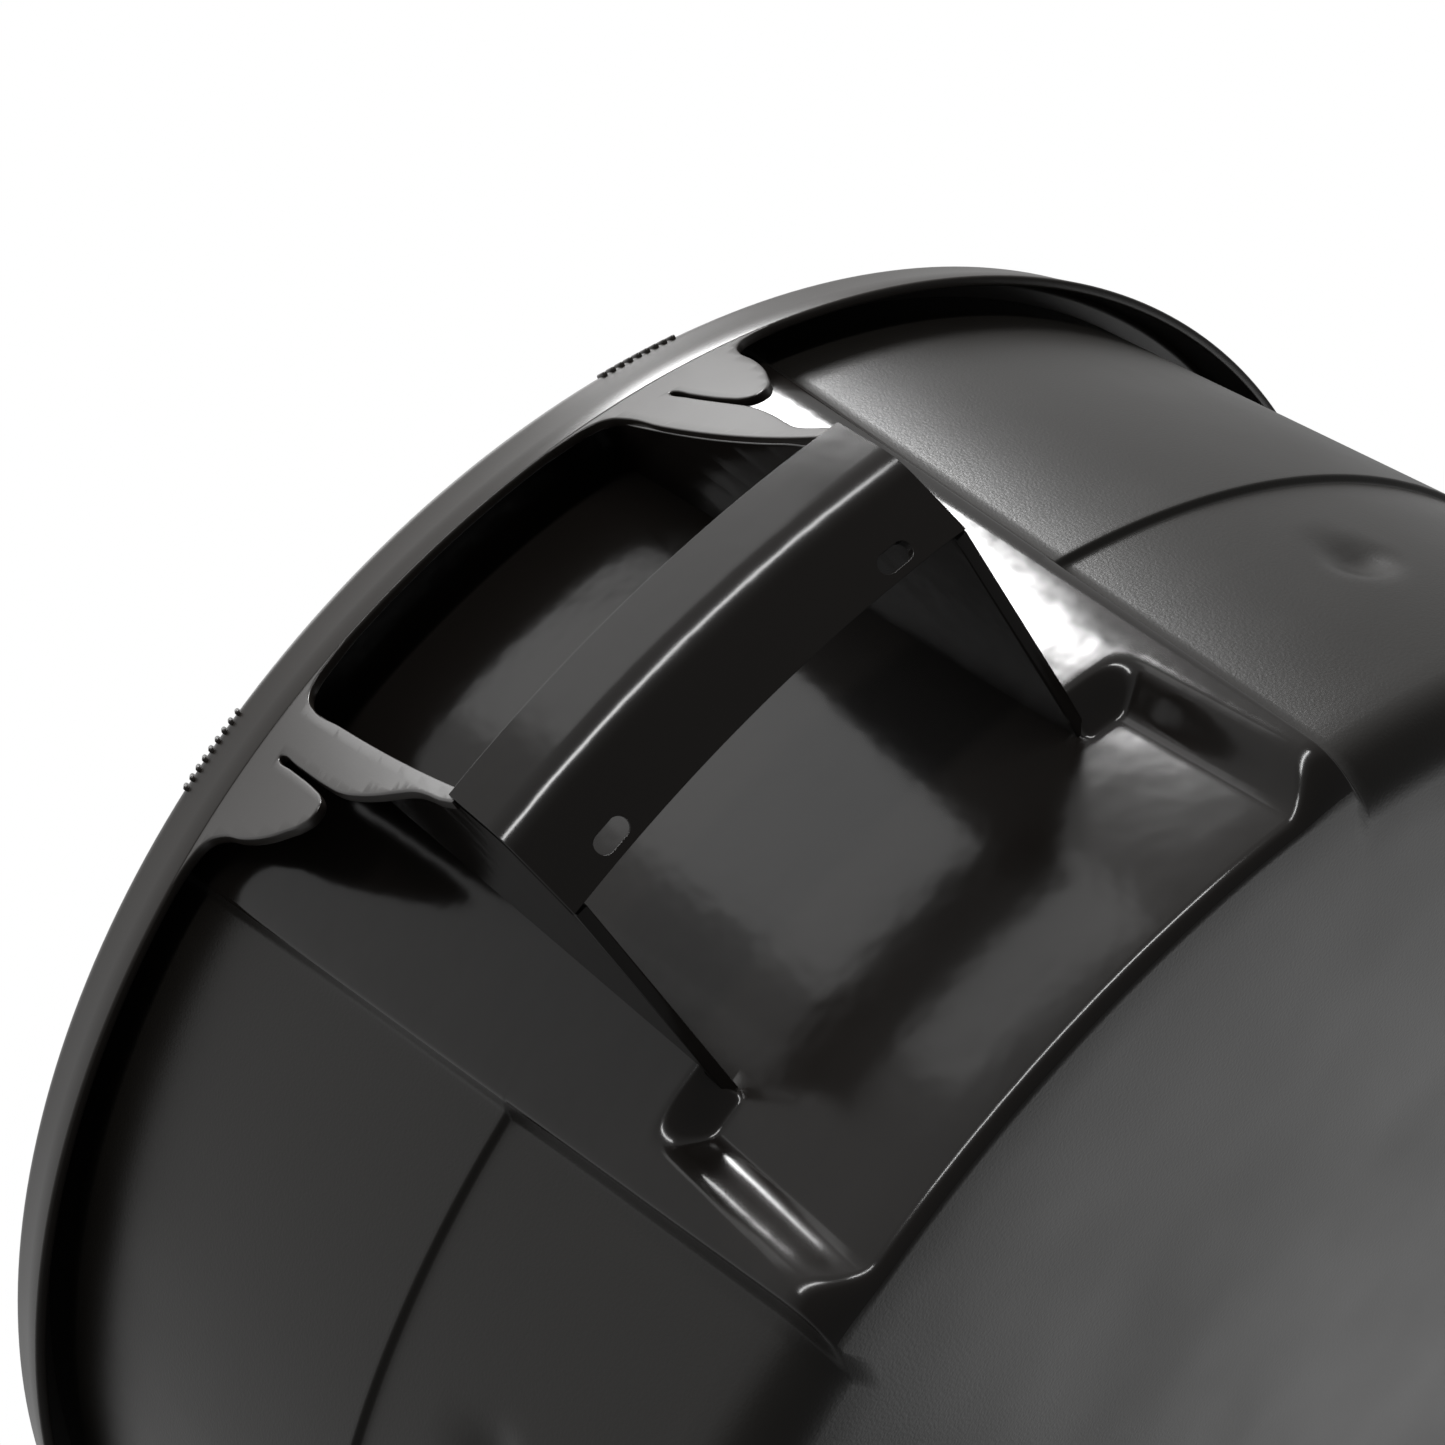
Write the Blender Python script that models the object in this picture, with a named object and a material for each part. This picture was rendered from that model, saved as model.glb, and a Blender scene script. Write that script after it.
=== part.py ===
"""Round mortar mixing tub with two moulded carrying handles and two tipping notches.

The tub stands on its base at z = 0, its axis is Z, and the handles are at +X and -X.
Run with: blender --background --python part.py
"""
import math

import bmesh
import bpy
from mathutils import Matrix, Vector

# ---- Driving dimensions, in metres -------------------------------------------------
GAP = 0.0003                 # clearance between neighbouring pieces

RIM_RADIUS = 0.345           # outside of the rim skirt at its lower edge
SKIRT_BOTTOM = 0.278         # height of the skirt's lower edge above the ground
SKIRT_HEIGHT = 0.027         # skirt's lower edge to the top of the flange
SKIRT_LEAN = 0.003           # how far the skirt leans out from its shoulder to its edge
RIM_THICKNESS = 0.004
SHOULDER_RADIUS = 0.007      # rounding between flange and skirt
RIM_SEGMENTS = 96

WALL = 0.0045
MOUTH_INSET = 0.0155         # rim radius less the outer wall radius, under the flange
RING_INSET = 0.020           # the same, just above the stacking ring
LOWER_INSET = 0.0225         # the same, just below the stacking ring
FOOT_INSET = 0.026           # the same, at the foot
RING_HEIGHT = 0.125          # height of the stacking ring
RING_STEP = 0.003            # height over which the ring steps in
FOOT_WIDTH = 0.021           # rounding between wall and base, measured along the base
FOOT_RISE = 0.017            # the same, measured up the wall
CONE_STEPS = 24              # wall facets between one handle zone and the other

PAD_INSET = 0.013            # smooth handle zone: rim radius less its radius at the top
PAD_FOOT_INSET = 0.0175      # the same at the foot
PAD_HALF = 0.1005            # half width of the smooth handle zone at the ground
PAD_SPREAD = 0.030           # how much wider each side is at the top
PAD_EDGE = 0.004             # width of the crease between zone and wall
POCKET_INSET = 0.028         # the wall behind the grip, down to the ground
POCKET_CEILING = 0.014       # height over which that wall runs out under the flange
POCKET_EDGE = 0.0008         # width of the step from pocket wall to handle zone
NOTCH_TOP = 0.071            # height of the tipping notch
NOTCH_EDGE = 0.010           # height over which its top slopes
NOTCH_FLOOR_HALF = 0.081     # half width of the notch at its back wall
NOTCH_MOUTH_HALF = 0.0955    # half width at its mouth, at the top
NOTCH_FLARE = 0.0035         # how much wider each side of the mouth is at the ground
NOTCH_CHAMFER = 0.005

WEB_HALF = 0.0685            # handle mid-plane to the inner face of a web
WEB_THICKNESS = 0.004
WEB_FOOT = 0.0025            # web's lower corner above the middle of the notch's top edge
HANDLE_DROP = 0.1484         # skirt's lower edge to the top edge of the grip
FLARE_SLOPE = 0.31           # the arms lean out by this share of their drop ...
FLARE_CURVE = 0.84           # ... and this much per square metre of drop
ARM_THICKNESS = 0.004

GRIP_PROUD = 0.0025          # how far the grip stands out from the arms
GRIP_WALL = 0.004
GRIP_FLAT = 0.0148           # flat front face of the grip, below its top edge
GRIP_LEAN = 0.001            # how far that face leans in over its height
GRIP_ROUND = 0.019           # outer radius of the rounding under the flat face
GRIP_TURN = 43.5             # degrees of that rounding
GRIP_SLANT = 0.0195          # slanted underside after the rounding
GRIP_STATIONS = 14
SLOT_POSITION = 0.052        # handle mid-plane to the centre of a slot
SLOT_LENGTH = 0.0115
SLOT_WIDTH = 0.006
SLOT_SHARE = 0.72            # place of the slots along the slanted underside

DIMPLE_BEARING = 35.5        # degrees from the handle's mid-plane to a dimple
DIMPLE_HEIGHT = 0.076
DIMPLE_RADIUS = 0.0155
DIMPLE_DEPTH = 0.0028

# Arm and lobe outline. Each point is the distance beyond the web's inner face and the
# drop below the skirt. The slit between arm and lobe has its own sizes.
WINDOW_CORNER = ((-0.0150, 0.0), (-0.0075, 0.0016), (-0.0023, 0.0056), (0.0, 0.0130))
ARM_TIP = 0.0046
ARM_EDGE = ((0.0055, 0.1380), (0.0056, 0.1290), (0.0064, 0.1180), (0.0090, 0.1070),
            (0.0119, 0.0966), (0.0150, 0.0830), (0.0167, 0.0740))
SLIT_OFFSET = 0.0171
SLIT_WIDTH = 0.002
SLIT_TOP = 0.0165
SLIT_END = 0.0600
LOBE_EDGE = ((0.0205, 0.0618), (0.0225, 0.0648), (0.0262, 0.0652), (0.0300, 0.0620),
             (0.0345, 0.0540), (0.0392, 0.0450), (0.0440, 0.0293), (0.0478, 0.0130),
             (0.0535, 0.0042), (0.0655, 0.0))


# ---- Helpers -----------------------------------------------------------------------
def clear_scene():
    for item in list(bpy.data.objects):
        bpy.data.objects.remove(item, do_unlink=True)


def make_material(name, colour, roughness):
    material = bpy.data.materials.new(name)
    material.use_nodes = True
    shader = material.node_tree.nodes["Principled BSDF"]
    shader.inputs["Base Color"].default_value = (*colour, 1.0)
    shader.inputs["Roughness"].default_value = roughness
    shader.inputs["Metallic"].default_value = 0.0
    return material


def face_outwards(bm):
    bmesh.ops.recalc_face_normals(bm, faces=bm.faces[:])
    if bm.calc_volume(signed=True) < 0:
        bmesh.ops.reverse_faces(bm, faces=bm.faces[:])


def add_object(name, bm, material, sharp_angle=32.0):
    """Make an object from a closed bmesh, faces pointing out."""
    face_outwards(bm)
    mesh = bpy.data.meshes.new(name)
    bm.to_mesh(mesh)
    bm.free()
    mesh.materials.append(material)
    mesh.shade_smooth()
    mesh.set_sharp_from_angle(angle=math.radians(sharp_angle))
    item = bpy.data.objects.new(name, mesh)
    bpy.context.scene.collection.objects.link(item)
    return item


def lerp(a, b, t):
    return a + (b - a) * t


def ring_point(radius, across, height):
    """A point at a radius from the tub's axis, at a distance across the handle plane."""
    return Vector((math.sqrt(radius * radius - across * across), across, height))


def close_sides(bm, near, far):
    """Quads between two matching closed loops."""
    for index in range(len(near)):
        after = (index + 1) % len(near)
        bm.faces.new((near[index], far[index], far[after], near[after]))


# ---- Tub shell ---------------------------------------------------------------------
SHELL_TOP = SKIRT_BOTTOM + SKIRT_HEIGHT - RIM_THICKNESS - GAP
MOUTH_RADIUS = RIM_RADIUS - MOUTH_INSET
POCKET_RADIUS = RIM_RADIUS - POCKET_INSET


def cone_radius(height):
    """Outer radius of the plain wall: two tapers with the stacking ring between them."""
    if height < RING_HEIGHT:
        return RIM_RADIUS - lerp(FOOT_INSET, LOWER_INSET, height / RING_HEIGHT)
    share = (height - RING_HEIGHT) / (SHELL_TOP - RING_HEIGHT)
    return RIM_RADIUS - lerp(RING_INSET, MOUTH_INSET, share)


def pad_radius(height):
    """Outer radius of the smooth zone round a handle."""
    return RIM_RADIUS - lerp(PAD_FOOT_INSET, PAD_INSET, height / SHELL_TOP)


def pocket_radius(height):
    return POCKET_RADIUS


def notch_radius(height):
    """Beside the pocket: recessed up to the notch's top, then the handle zone."""
    return POCKET_RADIUS if height < NOTCH_TOP else pad_radius(height)


RADIUS_OF = {"cone": cone_radius, "pad": pad_radius, "pocket": pocket_radius,
             "notch": notch_radius}


def wall_rows(kind, inside):
    """Profile from the middle of the base up to the mouth, outside or inside surface."""
    width, rise = (FOOT_WIDTH, FOOT_RISE) if kind in ("cone", "pad") else (NOTCH_CHAMFER,) * 2
    corner = 1.0 - math.sqrt(0.5)
    radius = RADIUS_OF[kind](rise)
    rows = [(POCKET_RADIUS / 2, 0.0), (radius - width, 0.0),
            (radius - width * corner, rise * corner), (radius, rise)]
    lift = WALL if inside else 0.0
    heights = (lerp(FOOT_RISE, NOTCH_TOP, 0.5),
               NOTCH_TOP - NOTCH_EDGE / 2,
               NOTCH_TOP + NOTCH_EDGE / 2,
               RING_HEIGHT - RING_STEP / 2,
               RING_HEIGHT + RING_STEP / 2,
               lerp(RING_HEIGHT, SHELL_TOP, 0.5),
               SHELL_TOP - POCKET_CEILING)
    lifts = (0.0, lift, lift, 0.0, 0.0, 0.0, 0.0)
    rows += [(RADIUS_OF[kind](height), height + up) for height, up in zip(heights, lifts)]
    rows.append((MOUTH_RADIUS, SHELL_TOP))
    if not inside:
        return rows
    shares = [(0.0, 1.0), (0.4, 1.0), (0.75, 0.75), (1.0, 0.4)]
    shares += [(1.0, 0.0)] * (len(rows) - len(shares))
    return [(radius - WALL * inward, height + WALL * upward)
            for (radius, height), (inward, upward) in zip(rows, shares)]


def handle_columns():
    """Columns from a handle's mid-plane outwards.

    Each has its kind, its distance across at the ground and at a height, that height,
    and how far the inside surface is moved across.
    """
    edge = WEB_HALF - POCKET_EDGE
    columns = [("pocket", edge * share, edge * share, SHELL_TOP, 0.0)
               for share in (0.0, 0.25, 0.5, 0.75)]
    columns += [
        ("pocket", edge, edge, SHELL_TOP, WALL),
        ("notch", WEB_HALF - GAP, WEB_HALF - GAP, SHELL_TOP, WALL),
        ("notch", NOTCH_FLOOR_HALF, NOTCH_FLOOR_HALF, SHELL_TOP, WALL * 0.8),
        ("pad", NOTCH_MOUTH_HALF + NOTCH_FLARE, NOTCH_MOUTH_HALF, NOTCH_TOP, WALL * 0.5),
        ("pad", PAD_HALF, PAD_HALF + PAD_SPREAD, SHELL_TOP, 0.0),
        ("cone", PAD_HALF + PAD_EDGE, PAD_HALF + PAD_SPREAD + PAD_EDGE, SHELL_TOP, 0.0),
    ]
    return columns


def column_points(column, side, inside):
    """Points of one column, on one side of the handle at +X."""
    kind, low, high, reach, shift = column
    points = []
    for radius, height in wall_rows(kind, inside):
        across = lerp(low, high, min(1.0, height / reach)) + (shift if inside else 0.0)
        points.append(ring_point(radius, side * across, height))
    return points


def half_columns(inside):
    """Columns of one handle and of the plain wall after it, going round from +X."""
    half = handle_columns()
    columns = [column_points(column, -1, inside) for column in reversed(half[1:])]
    columns += [column_points(column, 1, inside) for column in half]
    last = columns[-1]
    for step in range(1, CONE_STEPS):
        points = []
        for start, (radius, height) in zip(last, wall_rows("cone", inside)):
            begin = math.atan2(start.y, start.x)
            angle = lerp(begin, math.pi - begin, step / CONE_STEPS)
            points.append(Vector((radius * math.cos(angle), radius * math.sin(angle), height)))
        columns.append(points)
    return columns


def skin(bm, inside):
    """One surface of the tub: quads between columns and a fan over the floor."""
    half = half_columns(inside)
    turned = [[Vector((-point.x, -point.y, point.z)) for point in column] for column in half]
    grid = [[bm.verts.new(point) for point in column] for column in half + turned]
    middle = bm.verts.new((0.0, 0.0, WALL if inside else 0.0))
    for index, column in enumerate(grid):
        following = grid[(index + 1) % len(grid)]
        bm.faces.new((middle, column[0], following[0]))
        for row in range(len(column) - 1):
            bm.faces.new((column[row], column[row + 1], following[row + 1], following[row]))
    return [column[-1] for column in grid]


def add_cutter(name, bm, matrix):
    """A hidden wire object for a Boolean."""
    bmesh.ops.transform(bm, matrix=matrix, verts=bm.verts[:])
    face_outwards(bm)
    mesh = bpy.data.meshes.new(name)
    bm.to_mesh(mesh)
    bm.free()
    cutter = bpy.data.objects.new(name, mesh)
    bpy.context.scene.collection.objects.link(cutter)
    cutter.hide_render = True
    cutter.display_type = "WIRE"
    return cutter


def subtract(item, name, cutter):
    cut = item.modifiers.new(name, "BOOLEAN")
    cut.operation = "DIFFERENCE"
    cut.solver = "EXACT"
    cut.object = cutter


def add_dimple_cutter(name, bearing):
    """Domed disc whose crown reaches into the wall by the dimple's depth."""
    dome = (DIMPLE_RADIUS ** 2 + DIMPLE_DEPTH ** 2) / (2 * DIMPLE_DEPTH)
    bm = bmesh.new()
    rings = []
    for share in (1.3, 1.0, 0.7, 0.35):
        radius = DIMPLE_RADIUS * share
        depth = math.sqrt(dome * dome - radius * radius) - (dome - DIMPLE_DEPTH)
        rings.append([bm.verts.new((radius * math.cos(turn), radius * math.sin(turn), depth))
                      for turn in (math.tau * step / 24 for step in range(24))])
    for ring, following in zip(rings, rings[1:]):
        close_sides(bm, ring, following)
    back = [bm.verts.new((vert.co.x, vert.co.y, -DIMPLE_RADIUS)) for vert in rings[0]]
    close_sides(bm, back, rings[0])
    bm.faces.new(back)
    bm.faces.new(rings[-1])
    place = Matrix.Translation((cone_radius(DIMPLE_HEIGHT), 0, DIMPLE_HEIGHT))
    inwards = Matrix.Rotation(math.radians(-90), 4, "Y")
    return add_cutter(name, bm, Matrix.Rotation(bearing, 4, "Z") @ place @ inwards)


def build_shell(material):
    bm = bmesh.new()
    close_sides(bm, skin(bm, inside=False), skin(bm, inside=True))
    shell = add_object("tub_shell", bm, material)
    offset = math.radians(DIMPLE_BEARING)
    for index, bearing in enumerate((offset, -offset, math.pi + offset, math.pi - offset)):
        cutter = add_dimple_cutter(f"dimple_{index}_cutter", bearing)
        subtract(shell, f"dimple_{index}", cutter)


# ---- Rim ---------------------------------------------------------------------------
def arc(centre, radius, degrees):
    """Points of a rounding, from level outwards (0) to straight up (90)."""
    return [(centre[0] + radius * math.cos(math.radians(angle)),
             centre[1] + radius * math.sin(math.radians(angle))) for angle in degrees]


def build_rim(material):
    """Flange and down-turned skirt, turned round the tub's axis."""
    top = SKIRT_BOTTOM + SKIRT_HEIGHT
    centre = (RIM_RADIUS - SKIRT_LEAN - SHOULDER_RADIUS, top - SHOULDER_RADIUS)
    profile = [(RIM_RADIUS, SKIRT_BOTTOM)]
    profile += arc(centre, SHOULDER_RADIUS, (0, 30, 60, 90))
    profile.append((MOUTH_RADIUS - WALL, top))
    profile.append((MOUTH_RADIUS - WALL, top - RIM_THICKNESS))
    profile += arc(centre, SHOULDER_RADIUS - RIM_THICKNESS, (90, 45, 0))
    profile.append((RIM_RADIUS - RIM_THICKNESS, SKIRT_BOTTOM))
    bm = bmesh.new()
    rings = []
    for segment in range(RIM_SEGMENTS):
        angle = math.tau * segment / RIM_SEGMENTS
        rings.append([bm.verts.new((radius * math.cos(angle), radius * math.sin(angle), height))
                      for radius, height in profile])
    for index, ring in enumerate(rings):
        close_sides(bm, ring, rings[(index + 1) % RIM_SEGMENTS])
    add_object("rim_skirt", bm, material)


# ---- Handle pieces -----------------------------------------------------------------
def flare_radius(drop):
    """Outer radius of the arms at a drop below the skirt."""
    return RIM_RADIUS + FLARE_SLOPE * drop + FLARE_CURVE * drop * drop


def arm_outline():
    """Outline of one arm with its lobe: distance across and drop below the skirt."""
    points = list(WINDOW_CORNER)
    points.append((0.0, HANDLE_DROP))
    points.append((ARM_TIP, HANDLE_DROP))
    points += ARM_EDGE
    points.append((SLIT_OFFSET, SLIT_END))
    points.append((SLIT_OFFSET, SLIT_TOP + SLIT_WIDTH / 2))
    points.append((SLIT_OFFSET + SLIT_WIDTH / 2, SLIT_TOP))
    points.append((SLIT_OFFSET + SLIT_WIDTH, SLIT_TOP + SLIT_WIDTH / 2))
    points.append((SLIT_OFFSET + SLIT_WIDTH, SLIT_END))
    points += LOBE_EDGE
    return [(WEB_HALF + across, max(drop, GAP)) for across, drop in points]


def build_arm(name, side, turn, material):
    """Curved plate cut to the outline, hanging from the skirt and leaning out."""
    bm = bmesh.new()
    bm.faces.new([bm.verts.new((across, drop, 0.0)) for across, drop in arm_outline()])
    cuts = [((0, HANDLE_DROP * share, 0), (0, 1, 0)) for share in (0.1, 0.2, 0.35, 0.5, 0.65, 0.8)]
    cuts += [((WEB_HALF + 0.01 * step, 0, 0), (1, 0, 0)) for step in range(1, 6)]
    for place, normal in cuts:
        bmesh.ops.bisect_plane(bm, geom=bm.verts[:] + bm.edges[:] + bm.faces[:], dist=0.00001,
                               plane_co=place, plane_no=normal)
    bmesh.ops.triangulate(bm, faces=bm.faces[:])
    bm.verts.ensure_lookup_table()
    outline = [edge for edge in bm.edges if len(edge.link_faces) == 1]
    front = list(bm.verts)
    back = {vert: bm.verts.new(vert.co) for vert in front}
    for face in list(bm.faces):
        bm.faces.new([back[vert] for vert in reversed(face.verts)])
    for edge in outline:
        start, end = edge.verts
        bm.faces.new((start, end, back[end], back[start]))
    for vert in front:
        across, drop = vert.co.x, vert.co.y
        for item, inset in ((vert, 0.0), (back[vert], ARM_THICKNESS)):
            item.co = turn @ ring_point(flare_radius(drop) - inset, side * across,
                                        SKIRT_BOTTOM - drop)
    add_object(name, bm, material)


def grip_line(inset=0.0):
    """The grip's section, as radius from the axis and drop below the skirt, top to lip."""
    top = flare_radius(HANDLE_DROP) + GRIP_PROUD - inset
    centre = (top - GRIP_LEAN + inset - GRIP_ROUND, HANDLE_DROP + GRIP_FLAT)
    points = [(top, HANDLE_DROP)]
    for step in range(6):
        angle = math.radians(GRIP_TURN * step / 5)
        points.append((centre[0] + (GRIP_ROUND - inset) * math.cos(angle),
                       centre[1] + (GRIP_ROUND - inset) * math.sin(angle)))
    for share in (0.5, 1.0):
        points.append((points[6][0] - GRIP_SLANT * share * math.sin(angle),
                       points[6][1] + GRIP_SLANT * share * math.cos(angle)))
    return points


def add_slot_cutter(name, across, turn):
    """Stadium-shaped cutter standing square on the grip's rounding."""
    straight = (SLOT_LENGTH - SLOT_WIDTH) / 2
    outline = []
    for end in (1, -1):
        for step in range(7):
            angle = math.radians(30 * step + (0 if end == 1 else 180))
            outline.append((SLOT_WIDTH / 2 * math.cos(angle),
                            end * straight + SLOT_WIDTH / 2 * math.sin(angle)))
    bm = bmesh.new()
    loops = [[bm.verts.new((x, y, z)) for x, y in outline] for z in (-2 * GRIP_WALL, 2 * GRIP_WALL)]
    close_sides(bm, *loops)
    bm.faces.new(loops[0])
    bm.faces.new(reversed(loops[1]))
    line = grip_line(GRIP_WALL / 2)
    radius, drop = (lerp(line[6][axis], line[8][axis], SLOT_SHARE) for axis in (0, 1))
    place = Matrix.Translation(ring_point(radius, across, SKIRT_BOTTOM - drop))
    bearing = Matrix.Rotation(math.asin(across / radius), 4, "Z")
    tilt = Matrix.Rotation(math.radians(90 + GRIP_TURN), 4, "Y")
    return add_cutter(name, bm, turn.to_4x4() @ place @ bearing @ tilt)


def build_grip(name, turn, material):
    """Half-round shell between the webs, following the tub's curve."""
    bm = bmesh.new()
    reach = WEB_HALF - GAP
    section = grip_line() + list(reversed(grip_line(GRIP_WALL)))
    loops = []
    for station in range(GRIP_STATIONS + 1):
        across = lerp(-reach, reach, station / GRIP_STATIONS)
        loops.append([bm.verts.new(turn @ ring_point(radius, across, SKIRT_BOTTOM - drop))
                      for radius, drop in section])
    for loop, following in zip(loops, loops[1:]):
        close_sides(bm, loop, following)
    bm.faces.new(loops[0])
    bm.faces.new(reversed(loops[-1]))
    grip = add_object(name, bm, material)
    for label, side in (("left", -1), ("right", 1)):
        cutter = add_slot_cutter(f"{name}_{label}_cutter", side * SLOT_POSITION, turn)
        subtract(grip, f"slot_{label}", cutter)


def web_outline():
    """Outline of a web in its own plane: distance out along X, and height."""
    top = SKIRT_BOTTOM + SKIRT_HEIGHT - RIM_THICKNESS - 2 * GAP
    back = WEB_HALF + WEB_THICKNESS
    points = [ring_point(pad_radius(height) + GAP, WEB_HALF, height)
              for height in (NOTCH_TOP + WEB_FOOT, top)]
    edge = [(RIM_RADIUS - SKIRT_LEAN - RIM_THICKNESS - GAP, -SKIRT_HEIGHT + SHOULDER_RADIUS),
            (RIM_RADIUS - RIM_THICKNESS - GAP, GAP)]
    for share in (0.25, 0.5, 0.75, 1.0):
        drop = HANDLE_DROP * share
        edge.append((flare_radius(drop) - ARM_THICKNESS - GAP, drop + GAP))
    edge.append((grip_line()[0][0], HANDLE_DROP + GAP))
    edge += grip_line()[1:]
    points += [ring_point(radius, back, SKIRT_BOTTOM - drop) for radius, drop in edge]
    return [(point.x, point.z) for point in points]


def build_web(name, side, turn, material):
    bm = bmesh.new()
    near, far = [[bm.verts.new(turn @ Vector((x, side * across, z))) for x, z in web_outline()]
                 for across in (WEB_HALF, WEB_HALF + WEB_THICKNESS)]
    close_sides(bm, near, far)
    bm.faces.new(near)
    bm.faces.new(reversed(far))
    bmesh.ops.triangulate(bm, faces=[face for face in bm.faces if len(face.verts) > 4])
    add_object(name, bm, material)


def main():
    clear_scene()
    grained = make_material("grained_black_hdpe", (0.018, 0.017, 0.016), 0.55)
    satin = make_material("satin_black_hdpe", (0.022, 0.021, 0.020), 0.38)
    gloss = make_material("polished_black_hdpe", (0.014, 0.014, 0.014), 0.22)
    build_shell(grained)
    build_rim(satin)
    for handle, angle in (("front", 0.0), ("rear", math.pi)):
        turn = Matrix.Rotation(angle, 3, "Z")
        build_grip(f"{handle}_grip", turn, gloss)
        for label, side in (("left", -1), ("right", 1)):
            build_arm(f"{handle}_arm_{label}", side, turn, satin)
            build_web(f"{handle}_web_{label}", side, turn, satin)


main()
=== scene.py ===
import math
import bpy
from mathutils import Matrix, Vector


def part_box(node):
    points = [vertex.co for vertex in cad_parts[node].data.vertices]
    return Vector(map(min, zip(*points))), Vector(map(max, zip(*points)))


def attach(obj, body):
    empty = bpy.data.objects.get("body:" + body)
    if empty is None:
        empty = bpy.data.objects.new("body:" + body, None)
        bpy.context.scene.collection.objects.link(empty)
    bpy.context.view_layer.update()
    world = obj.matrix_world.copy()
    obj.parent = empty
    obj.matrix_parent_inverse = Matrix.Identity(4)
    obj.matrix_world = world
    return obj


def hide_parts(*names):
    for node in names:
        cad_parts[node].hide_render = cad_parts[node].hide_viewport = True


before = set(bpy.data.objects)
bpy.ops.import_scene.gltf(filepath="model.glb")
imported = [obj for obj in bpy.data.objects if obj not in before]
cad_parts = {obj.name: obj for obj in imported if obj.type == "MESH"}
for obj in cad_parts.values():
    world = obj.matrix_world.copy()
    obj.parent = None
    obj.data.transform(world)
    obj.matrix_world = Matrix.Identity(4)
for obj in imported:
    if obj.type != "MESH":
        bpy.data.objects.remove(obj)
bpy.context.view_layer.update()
rimLow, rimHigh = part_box("rim_skirt")
rimRadius = rimHigh.x              # outside of the skirt at its lower edge
skirtBottom = rimLow.z
rimTop = rimHigh.z
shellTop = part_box("tub_shell")[1].z
print("frame loaded")


# small tools
def hexColour(code):
    def linear(part):
        value = int(part, 16) / 255
        return value / 12.92 if value <= 0.04045 else ((value + 0.055) / 1.055) ** 2.4
    code = code.lstrip("#")
    return (linear(code[0:2]), linear(code[2:4]), linear(code[4:6]), 1.0)


def mix(a, b, t):
    return a + (b - a) * t


def ease(low, high, value):
    t = min(1.0, max(0.0, (value - low) / (high - low)))
    return t * t * (3 - 2 * t)


def deselectAll():
    if bpy.context.object and bpy.context.object.mode != "OBJECT":
        bpy.ops.object.mode_set(mode="OBJECT")
    bpy.ops.object.select_all(action="DESELECT")


def pick(piece):
    deselectAll()
    piece.select_set(True)
    bpy.context.view_layer.objects.active = piece


def editAll(piece):
    pick(piece)
    bpy.ops.object.mode_set(mode="EDIT")
    bpy.ops.mesh.select_all(action="SELECT")


def leaveEdit():
    bpy.ops.object.mode_set(mode="OBJECT")


def applyAll(piece):
    pick(piece)
    for modifier in list(piece.modifiers):
        bpy.ops.object.modifier_apply(modifier=modifier.name)


def smooth(piece, degrees):
    pick(piece)
    bpy.ops.object.shade_smooth_by_angle(angle=math.radians(degrees))


def closeUp(piece, threshold=0.00002):
    editAll(piece)
    bpy.ops.mesh.remove_doubles(threshold=threshold)
    bpy.ops.mesh.normals_make_consistent(inside=False)
    leaveEdit()


def halfTurnCopy(piece, name):
    copy = piece.copy()
    copy.data = piece.data.copy()
    copy.name = name
    bpy.context.scene.collection.objects.link(copy)
    copy.data.transform(Matrix.Rotation(math.pi, 4, "Z"))
    return copy


def onRing(radius, across, height):
    return Vector((math.sqrt(max(radius * radius - across * across, 0.0)), across, height))


# the tub's wall and base, in metres; bearings in degrees
wall = {
    "thickness": 0.0045,
    "mouth": 0.3295, "ringAbove": 0.325, "ringBelow": 0.3225, "foot": 0.319,
    "ringHeight": 0.125, "ringHalf": 0.0009,
    "padTop": 0.332, "padFoot": 0.3278, "pocket": 0.317,
    "footWidth": 0.021, "footRise": 0.017, "notchWidth": 0.0050, "notchRise": 0.0050,
    "notchLow": 0.0655, "notchHigh": 0.0770,
    "webIn": 0.0688, "webOut": 0.0721, "floorHalf": 0.0800,
    "mouthHalf": 0.0968, "mouthFlare": 0.0030, "creaseFoot": 0.1005, "creaseGain": 0.030,
    "creaseWidth": 0.0034, "ceiling": 0.0145,
    "dimpleBearing": 35.5, "dimpleHeight": 0.076, "dimpleRadius": 0.0165, "dimpleDepth": 0.0036,
}


def coneRadius(z):
    low = mix(wall["foot"], wall["ringBelow"], z / wall["ringHeight"])
    share = (z - wall["ringHeight"]) / (shellTop - wall["ringHeight"])
    high = mix(wall["ringAbove"], wall["mouth"], share)
    half = wall["ringHalf"]
    return mix(low, high, ease(wall["ringHeight"] - half, wall["ringHeight"] + half, z))


def padRadius(z):
    radius = mix(wall["padFoot"], wall["padTop"], z / shellTop)
    return mix(radius, wall["mouth"], ease(shellTop - wall["ceiling"], shellTop, z))


def pocketRadius(z):
    share = max(0.0, (z - shellTop + wall["ceiling"]) / wall["ceiling"])
    return mix(wall["pocket"], wall["mouth"], share ** 1.6)


wallRows = [("flat", f) for f in (0, 0.3, 0.6, 0.85, 0.95, 1.0)]
wallRows += [("turn", step / 7) for step in range(1, 8)]
wallRows += [("rise", 0.5), ("rise", 1.0)]
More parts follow.
